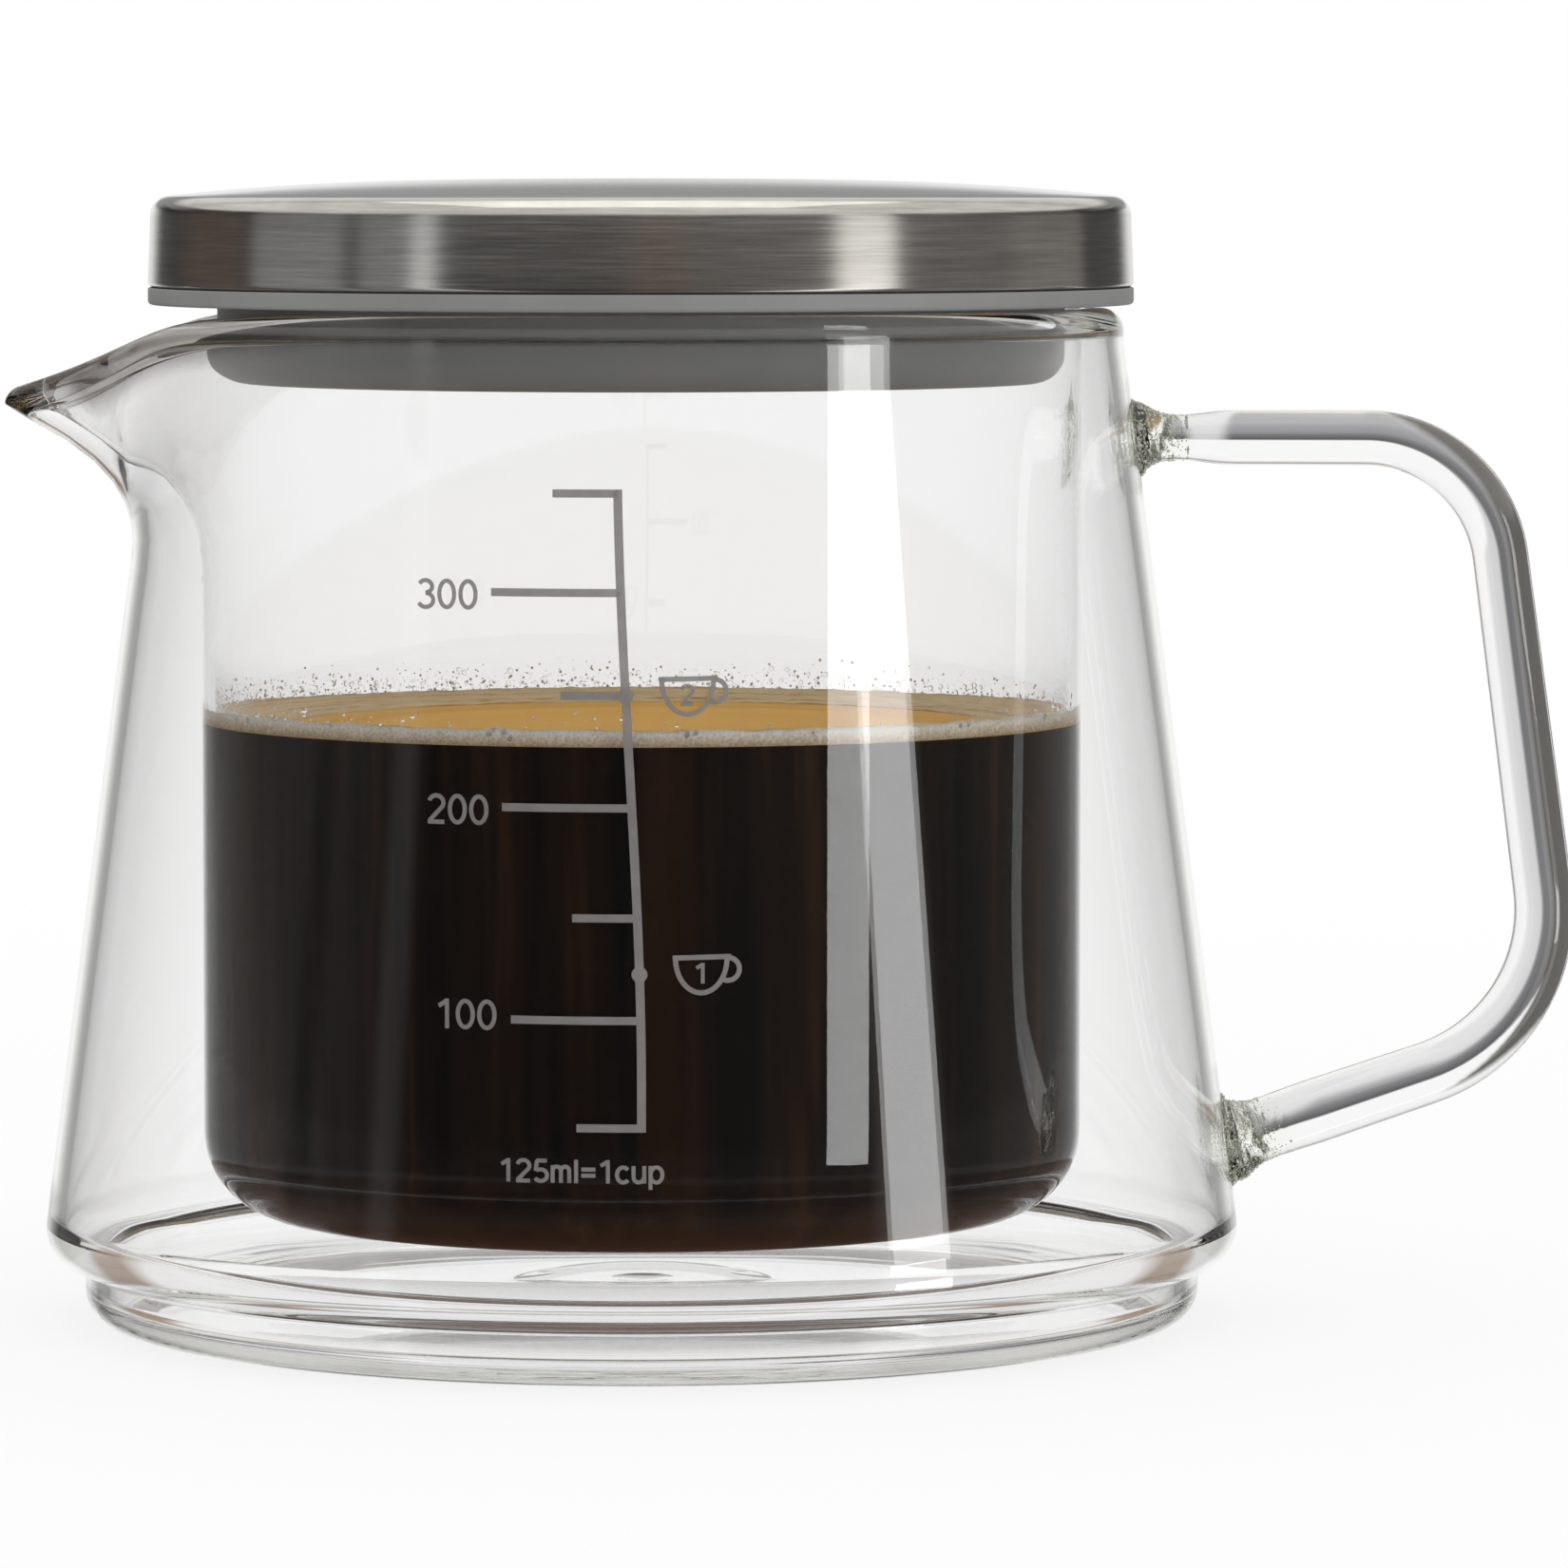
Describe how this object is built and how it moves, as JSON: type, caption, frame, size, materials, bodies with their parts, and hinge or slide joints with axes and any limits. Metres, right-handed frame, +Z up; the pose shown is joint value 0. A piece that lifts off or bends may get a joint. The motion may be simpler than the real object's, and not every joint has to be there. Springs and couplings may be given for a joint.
{
  "type": "pour-over coffee carafe",
  "caption": "Double-walled glass coffee carafe with a drawn spout, a fused rod handle and a lift-off steel lid with a soft sealing plug.",
  "frame": {"origin": "centre of the flat underside, on the vessel's axis", "axes": "+Z up along the vessel's axis, -X towards the spout, +X towards the handle"},
  "size_m": [0.1492, 0.114, 0.1087],
  "materials": {
    "clear_glass": "clear polished borosilicate",
    "melted_glass": "flame-melted, slightly green and bubbly",
    "brushed_cap": "fine brushed",
    "grey_seal": "matt silicone",
    "grey_pan": "satin moulded"
  },
  "bodies": {
    "carafe": {"inner_beaker": "clear_glass", "outer_jacket": "clear_glass", "rim_weld": "melted_glass", "base_dish": "clear_glass", "vent_seal": "melted_glass", "handle": "clear_glass", "upper_handle_weld": "melted_glass", "lower_handle_weld": "melted_glass"},
    "lid": {"lid_cap": "brushed_cap", "lid_seal": "grey_seal", "lid_pan": "grey_pan"}
  },
  "joints": [
    {"name": "lid_lift", "type": "slide", "parent": "carafe", "child": "lid", "axis": [0, 0, 1], "range_m": [0, 0.06]}
  ]
}
